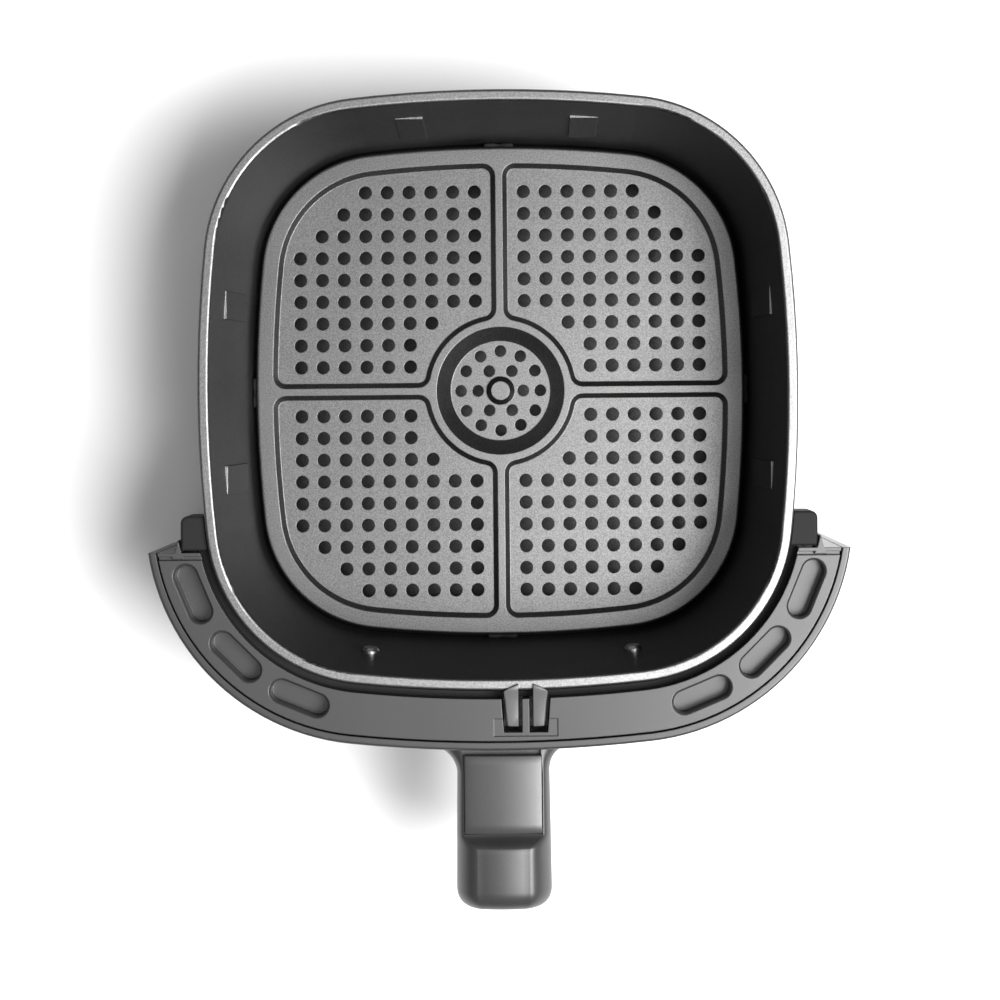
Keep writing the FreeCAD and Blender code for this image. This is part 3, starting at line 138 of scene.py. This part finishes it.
# One material for each of the record's slots, and clip_plastic, a lighter one for the clip's prongs.
MATERIALS = {
    "coated_steel": finish_material(
        "pan_coating", (0.13, 0.23), (0.36, 0.44), COATING_GRAIN, PAN_DEPTH, 0.0004, metallic=1.0),
    "coated_steel_plate": finish_material(
        "plate_coating", (0.088, 0.165), (0.36, 0.44), COATING_GRAIN, PLATE_DEPTH, 0.0005, metallic=1.0),
    "dark_plastic": plastic("dark_plastic", (0.008, 0.012), (0.6, 0.7)),
    "frame_plastic": plastic("frame_plastic", (0.024, 0.034), (0.29, 0.36), 0.0005),
    "clip_plastic": plastic("clip_plastic", (0.085, 0.11), (0.30, 0.37), 0.0003),
    "cover_plastic": plastic("cover_plastic", (0.024, 0.034), (0.29, 0.36), 0.0005),
    "handle_plastic": plastic("handle_plastic", (0.024, 0.034), (0.36, 0.44)),
    "panel_plastic": plastic("panel_plastic", (0.03, 0.042), (0.30, 0.37)),
    "silicone": finish_material("silicone", (0.012, 0.018), (0.55, 0.65), RUBBER_GRAIN, PLASTIC_DEPTH),
    "bare_steel": finish_material(
        "bare_steel", (0.45, 0.55), (0.3, 0.38), PLASTIC_GRAIN, STEEL_DEPTH, metallic=1.0),
    "screw_steel": finish_material(
        "screw_steel", (0.6, 0.7), (0.22, 0.3), PLASTIC_GRAIN, STEEL_DEPTH, metallic=1.0),
}


def paint_shade_below(material, low, high, share):
    """Paint shade into a material: let its colour fall to a share of itself between two heights, in metres.
    """
    tree = material.node_tree
    shader = tree.nodes["Principled BSDF"]
    colour = shader.inputs["Base Color"].links[0].from_socket
    place = tree.nodes.new("ShaderNodeTexCoord")
    axes = tree.nodes.new("ShaderNodeSeparateXYZ")
    tree.links.new(place.outputs["Object"], axes.inputs["Vector"])
    level = spread(tree, axes.outputs["Z"], low, high, share, 1.0)
    scaled = tree.nodes.new("ShaderNodeVectorMath")
    scaled.operation = "SCALE"
    tree.links.new(colour, scaled.inputs["Vector"])
    tree.links.new(level.outputs["Result"], scaled.inputs["Scale"])
    tree.links.new(scaled.outputs["Vector"], shader.inputs["Base Color"])


# Painted shade: the pan's floor, under the plate and seen through its holes, is painted darker than its
# walls, standing in for the shade that the plate casts on it.
paint_shade_below(MATERIALS["coated_steel"], 0.004, 0.016, 0.3)

# The band round the rim hardly shines.
BAND_SHADER = MATERIALS["dark_plastic"].node_tree.nodes["Principled BSDF"]
BAND_SHADER.inputs["Specular IOR Level"].default_value = 0.2

for node in NODES.values():
    kept = node.material_slots[0].material.name.split(".")[0]
    for place in node.material_slots:
        place.material = MATERIALS[kept]

# ---------------------------------------------------------------- mesh helpers

MM = 0.001
WELD = 0.005 * MM


def smooth(share):
    """Ease from 0 to 1."""
    share = min(max(share, 0.0), 1.0)
    return share * share * (3 - 2 * share)


def spaced(first, last, steps):
    """Evenly spaced values, both ends included."""
    return [first + (last - first) * step / steps for step in range(steps + 1)]


def box_mm(node):
    """A node's lowest and highest corners at rest, in millimetres."""
    low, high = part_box(node)
    return low / MM, high / MM


def add_piece(name, points, faces, body, slot, replaced, sharp=35, look=None):
    """A mesh from points in millimetres that rides on a body and stands for CAD nodes.

    sharp is the angle, in degrees, from which an edge stays sharp; look is its material, if not the slot's.
    """
    mesh = bpy.data.meshes.new(name)
    mesh.from_pydata([Vector(point) * MM for point in points], [], faces)
    work = bmesh.new()
    work.from_mesh(mesh)
    bmesh.ops.remove_doubles(work, verts=work.verts, dist=WELD)
    bmesh.ops.dissolve_degenerate(work, edges=work.edges, dist=WELD)
    bmesh.ops.recalc_face_normals(work, faces=work.faces)
    work.to_mesh(mesh)
    work.free()
    mesh.shade_smooth()
    mesh.set_sharp_from_angle(angle=math.radians(sharp))
    mesh.materials.append(MATERIALS[look or slot])
    piece = bpy.data.objects.new(name, mesh)
    bpy.context.scene.collection.objects.link(piece)
    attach(piece, body)
    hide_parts(*replaced)


def skin(loops):
    """Points and faces that join equal closed loops, with both ends closed."""
    count = len(loops[0])
    points = [point for loop in loops for point in loop]
    faces = []
    for level in range(len(loops) - 1):
        low = level * count
        for index in range(count):
            after = (index + 1) % count
            faces.append((low + index, low + after, low + count + after, low + count + index))
    faces.append(tuple(range(count))[::-1])
    faces.append(tuple(range(len(points) - count, len(points))))
    return points, faces


def mirrored(right):
    """A closed section from its right half, whose first and last points lie on the middle line."""
    return right + [(-x, z) for x, z in right[1:-1]][::-1]


# ---------------------------------------------------------------- handle, in millimetres

COVER_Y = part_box("front_cover")[0].y / MM
HANDLE_LOW, HANDLE_HIGH = box_mm("handle_body")
PANEL_LOW, PANEL_HIGH = box_mm("handle_panel")

HANDLE_X = 0.7                  # middle of the handle, right of the drawer's
HANDLE_LENGTH = COVER_Y - HANDLE_LOW.y
HANDLE_HALF = 18.7              # half width near the cover
HANDLE_SPREAD = 0.7             # what each side gains towards the end
ROOT_RADIUS = 11.0              # sweep from the cover into the side
ROOT_FACE = 0.8                 # start of the sweep, inside the cover
PANEL_SEAM = 0.35               # gap beside the inlay
RECESS = 3.2                    # depth of the inlay's seat
SHOULDER_DROP = 0.7             # top of the handle's sides, below the inlay's top
STOP_FOOT = COVER_Y - PANEL_LOW.y + 0.25    # where the end block starts to rise
STOP_RUN = 5.2                  # length of that rise
BLOCK_EDGE = 10.3               # half width of the block's flat top
NOSE = 8.0                      # length of the rounding at the end
NOSE_SIDE, NOSE_EDGE, NOSE_TOP, NOSE_BOTTOM, NOSE_FALL = 6.0, 3.0, 6.5, 5.0, 4.0   # what it takes off each
WAIST = 5.0                     # hollow of the underside, for the fingers
WAIST_START, WAIST_FALL = 9, 13     # where it starts from the cover, and the length of its slope
WAIST_END, WAIST_RISE = 6, 15       # the same from the handle's end
FLANK_FALL = 6.5                # drop of the flanks, and as much again at the block
FLANK_POWER = 1.2
LOW_ROUND = 6.0                 # rounding of the lower edges
CROWN = 0.9                     # rise of the inlay's and the block's middle


def handle_half(along):
    """Half width of the handle at a distance from the cover."""
    past = along + ROOT_FACE - ROOT_RADIUS
    if past < 0:
        return HANDLE_HALF + ROOT_RADIUS - math.sqrt(max(ROOT_RADIUS ** 2 - past ** 2, 0))
    return HANDLE_HALF + HANDLE_SPREAD * past / (HANDLE_LENGTH - ROOT_RADIUS)


def handle_loop(along):
    """Section of the handle: hollowed underside, sides that fall away beside the inlay, rounded block."""
    block = smooth((along - STOP_FOOT) / STOP_RUN)
    end = min(max((along - HANDLE_LENGTH + NOSE) / NOSE, 0), 1)
    inset = 1 - math.sqrt(1 - end ** 2)
    waist = smooth((along - WAIST_START) / WAIST_FALL)
    waist *= smooth((HANDLE_LENGTH - WAIST_END - along) / WAIST_RISE)
    half = handle_half(along) - NOSE_SIDE * inset
    shoulder = PANEL_HIGH.z - SHOULDER_DROP
    top = shoulder + (HANDLE_HIGH.z - PANEL_HIGH.z + SHOULDER_DROP) * block - NOSE_TOP * inset
    bottom = HANDLE_LOW.z + WAIST * waist + NOSE_BOTTOM * inset
    low = bottom + LOW_ROUND
    seam = PANEL_HIGH.x + PANEL_SEAM
    edge = seam + (BLOCK_EDGE - seam) * block - NOSE_EDGE * inset
    fall_x = half - edge
    fall_z = FLANK_FALL + FLANK_FALL * block - NOSE_FALL * inset
    depth = RECESS if along < STOP_FOOT - 0.01 else 0.0
    right = [(x, bottom) for x in spaced(0, half - LOW_ROUND, 4)]
    for angle in spaced(-90, 0, 7)[1:]:
        turn = math.radians(angle)
        right.append((half - LOW_ROUND + LOW_ROUND * math.cos(turn), low + LOW_ROUND * math.sin(turn)))
    for share in spaced(0, 1, 6)[1:]:
        right.append((half, low + (top - fall_z - low) * share))
    for angle in spaced(0, 90, 12)[1:]:
        turn = math.radians(angle)
        in_x = fall_x * (1 - math.cos(turn) ** FLANK_POWER)
        down_z = fall_z * (1 - math.sin(turn) ** FLANK_POWER)
        right.append((half - in_x, top - down_z))
    right += [(edge - 0.04, top - min(depth, 0.04)), (edge - 0.05, top - depth)]
    for share in (0.75, 0.5, 0.25, 0):
        right.append((edge * share, top - depth + CROWN * block * (1 - share ** 2)))
    shift = HANDLE_X * smooth(along / ROOT_RADIUS)
    return [(x + shift, COVER_Y - along, z) for x, z in mirrored(right)]


def make_handle():
    """The grip, lofted from the cover to its rounded end."""
    stop_top = STOP_FOOT + STOP_RUN
    nose_start = HANDLE_LENGTH - NOSE
    stations = [-1.5, -0.8] + spaced(0, ROOT_RADIUS, 11) + spaced(ROOT_RADIUS + 2, STOP_FOOT - 0.05, 8)
    stations += spaced(STOP_FOOT, stop_top, 8) + spaced(stop_top + 2, nose_start, 4)
    stations += [nose_start + NOSE * math.sin(math.radians(angle)) for angle in spaced(0, 90, 12)[1:]]
    loops = [handle_loop(along) for along in stations]
    last = loops[-1]
    middle_z = sum(point[2] for point in last) / len(last)
    for share, bulge in ((0.97, 0.12), (0.88, 0.4), (0.7, 0.7), (0.45, 0.95), (0.15, 1.05)):
        loops.append([(x * share, y - bulge, middle_z + (z - middle_z) * share) for x, y, z in last])
    points, faces = skin(loops)
    add_piece("handle_grip", points, faces, "drawer", "handle_plastic", ["handle_body"])


def make_panel():
    """The handle's inlay: a softly crowned strip with rounded edges."""
    half = PANEL_HIGH.x
    near = PANEL_HIGH.y
    far = PANEL_LOW.y
    # y, drop of the top there
    stations = [(near, 2.0), (near, 0.6), (near - 0.2, 0.2), (near - 0.6, 0.0)]
    stations += [(y, 0.0) for y in spaced(near - 4, far + 4, 10)]
    stations += [(far + 0.5, 0.0), (far + 0.15, 0.2), (far, 0.5), (far, 2.0)]
    loops = []
    for y, drop in stations:
        top = PANEL_HIGH.z - drop
        right = [(0, PANEL_LOW.z), (half - 0.3, PANEL_LOW.z), (half, PANEL_LOW.z + 0.3), (half, top - 0.45)]
        right += [(half - 0.07, top - 0.2), (half - 0.25, top - 0.05), (half - 0.5, top)]
        right += [(x, top + CROWN * (1 - (x / half) ** 2)) for x in (13, 10, 7, 4, 1.5, 0)]
        loops.append([(x + HANDLE_X, y, z) for x, z in mirrored(right)])
    points, faces = skin(loops)
    add_piece("handle_inlay", points, faces, "drawer", "panel_plastic", ["handle_panel"])


make_handle()
make_panel()

# ---------------------------------------------------------------- rim clip, in millimetres

CLIP_LOW, CLIP_HIGH = box_mm("rim_clip")
CLIP_X = (CLIP_LOW.x + CLIP_HIGH.x) / 2
CLIP_HALF = 8.2         # half width of the base
CLIP_BASE = 3.0         # thickness of the base
PRONG_INNER = 2.9       # the prongs' inner sides, from the clip's middle
PRONG_CLEAR = 4.2       # back of the legs, in front of the rim
RIM_CLEAR = 0.05        # underside of the prongs, above the rim


def make_clip():
    """Two tapering prongs with peaked ends that lap over the rim, on a common base."""
    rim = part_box("pan")[0].y / MM
    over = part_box("pan")[1].z / MM + RIM_CLEAR
    leg_back = rim - PRONG_CLEAR
    front = CLIP_LOW.y
    tail = CLIP_HIGH.y
    crown = CLIP_HIGH.z
    base = CLIP_LOW.z
    # y, outer side, height, underside
    stations = [
        (front, 6.9, crown - 4.4, base),
        (front + 0.15, 7.2, crown - 3.9, base),
        (front + 0.5, 7.4, crown - 3.6, base),
        (front + 4, 7.8, crown - 3.0, base),
        (leg_back, 8.3, crown - 2.1, base),
        (leg_back, 8.3, crown - 2.1, over - 2.0),
        (rim - 2.5, 8.6, crown - 1.5, over - 1.2),
        (rim - 0.8, 8.8, crown - 0.9, over),
        (rim - 0.1, 8.8, crown - 0.55, over),
        (rim + 0.5, 8.0, crown - 0.3, over),
        (tail - 1.0, 5.9, crown - 0.1, over),
        (tail - 0.3, 4.2, crown - 0.15, over),
        (tail, 3.5, crown - 0.6, over),
    ]
    parts = []
    for side in (1, -1):
        loops = []
        for y, outer, top, low in stations:
            section = [
                (PRONG_INNER, low), (outer, low), (outer, top - 0.7), (outer - 0.12, top - 0.3),
                (outer - 0.4, top - 0.06), (outer - 0.8, top), (PRONG_INNER + 0.5, top + 0.12),
                (PRONG_INNER + 0.15, top), (PRONG_INNER, top - 0.35),
            ]
            loops.append([(CLIP_X + side * x, y, z) for x, z in section])
        parts.append(loops)
    plan = [(-CLIP_HALF, front), (CLIP_HALF, front), (CLIP_HALF, leg_back), (-CLIP_HALF, leg_back)]
    parts.append([[(CLIP_X + x, y, z) for x, y in plan] for z in (base, base + CLIP_BASE)])
    points = []
    faces = []
    for loops in parts:
        part_points, part_faces = skin(loops)
        faces += [tuple(index + len(points) for index in face) for face in part_faces]
        points += part_points
    add_piece("rim_clip_prongs", points, faces, "drawer", "frame_plastic", ["rim_clip"],
              sharp=30, look="clip_plastic")


make_clip()

# ---------------------------------------------------------------- silicone bumpers, in millimetres

BUMPER_DEPTH = 9.8      # the pan's wall to the plate's skirt
BUMPER_LIP = 5.6        # how far the foot reaches in under the plate
WALL_FOOT = 10.1        # height from which the bumper's outer face follows the wall
# Half of a bumper's length: share along it from the middle, and how much its section shrinks there.
BUMPER_HALF = [(1, 0.1), (0.97, 0.04), (0.9, 0.01), (0.8, 0), (0.25, 0), (0.2, 0.03)]
BUMPER_STATIONS = [(-along, shrink) for along, shrink in BUMPER_HALF] + BUMPER_HALF[::-1]


def make_bumper(side, turn):
    """Moulded bumper between plate and wall: a soft-edged block with a shallow groove across its middle."""
    low, high = box_mm("bumper_" + side)
    across = (high.y - low.y) if side in ("right", "left") else (high.x - low.x)
    reach = max(abs(low.x), abs(high.x), abs(low.y), abs(high.y))
    foot = reach - BUMPER_DEPTH
    outline = [
        (foot, low.z), (reach - 0.8, WALL_FOOT), (reach, high.z - 2.0), (reach - 3.9, high.z),
        (foot, high.z), (foot - BUMPER_LIP, high.z - 5.8), (foot - BUMPER_LIP, low.z),
    ]
    # Cutting the corners twice rounds them.
    for _ in range(2):
        corners = zip(outline, outline[1:] + outline[:1])
        outline = [(a[0] + (b[0] - a[0]) * share, a[1] + (b[1] - a[1]) * share)
                   for a, b in corners for share in (0.12, 0.88)]
    middle_x = sum(x for x, _ in outline) / len(outline)
    middle_z = sum(z for _, z in outline) / len(outline)
    spin = Matrix.Rotation(math.radians(turn), 3, "Z")
    loops = []
    for along, shrink in BUMPER_STATIONS:
        y = along * across / 2
        loops.append([spin @ Vector((x + (middle_x - x) * shrink, y, z + (middle_z - z) * shrink))
                      for x, z in outline])
    points, faces = skin(loops)
    add_piece("bumper_pad_" + side, points, faces, "plate", "silicone", ["bumper_" + side], sharp=50)


for side, turn in (("right", 0), ("back", 90), ("left", 180), ("front", 270)):
    make_bumper(side, turn)

# ---------------------------------------------------------------- floor, light and camera

FLOOR_REACH = 6.0
FLOOR_TONE = 0.93
WORLD_STRENGTH = 0.17
SOFTBOX_SIZE = 1.0

floor_mesh = bpy.data.meshes.new("floor")
floor_mesh.from_pydata(
    [(FLOOR_REACH * x, FLOOR_REACH * y, 0) for x, y in ((-1, -1), (1, -1), (1, 1), (-1, 1))],
    [], [(0, 1, 2, 3)])
floor = bpy.data.objects.new("floor", floor_mesh)
bpy.context.scene.collection.objects.link(floor)
floor_material, _, floor_shader = new_material("floor")
floor_shader.inputs["Base Color"].default_value = (FLOOR_TONE, FLOOR_TONE, FLOOR_TONE, 1)
floor_shader.inputs["Roughness"].default_value = 0.9
floor_shader.inputs["Specular IOR Level"].default_value = 0.1
floor_mesh.materials.append(floor_material)

world = bpy.data.worlds.new("studio")
bpy.context.scene.world = world
world.use_nodes = True
background = world.node_tree.nodes["Background"]
background.inputs["Color"].default_value = (1, 1, 1, 1)
background.inputs["Strength"].default_value = WORLD_STRENGTH


def add_softbox(name, place, target, power):
    """A square area light that faces a point."""
    light = bpy.data.lights.new(name, "AREA")
    light.shape = "RECTANGLE"
    light.size = SOFTBOX_SIZE
    light.size_y = SOFTBOX_SIZE
    light.energy = power
    lamp = bpy.data.objects.new(name, light)
    lamp.location = place
    lamp.rotation_euler = (Vector(target) - Vector(place)).to_track_quat("-Z", "Y").to_euler()
    bpy.context.scene.collection.objects.link(lamp)


add_softbox("key", (0.80, -0.34, 1.6), (0, -0.02, 0.08), 70)
add_softbox("top", (-0.1, 0.0, 2.2), (0, 0, 0), 7)

# The camera looks straight down, and its shift gives the photograph's framing.
CAMERA_PLACE = (0.0120, -0.0040, 1.008)
CAMERA_ROLL = math.radians(-0.52)
camera_data = bpy.data.cameras.new("camera")
camera_data.lens = 81.3
camera_data.shift_x = -0.028
camera_data.shift_y = -0.1005
camera_data.sensor_width = 36.0
camera_data.clip_start = 0.05
camera = bpy.data.objects.new("camera", camera_data)
camera.location = CAMERA_PLACE
camera.rotation_euler = (0, 0, CAMERA_ROLL)
bpy.context.scene.collection.objects.link(camera)
bpy.context.scene.camera = camera
bpy.context.scene.view_settings.view_transform = "Standard"
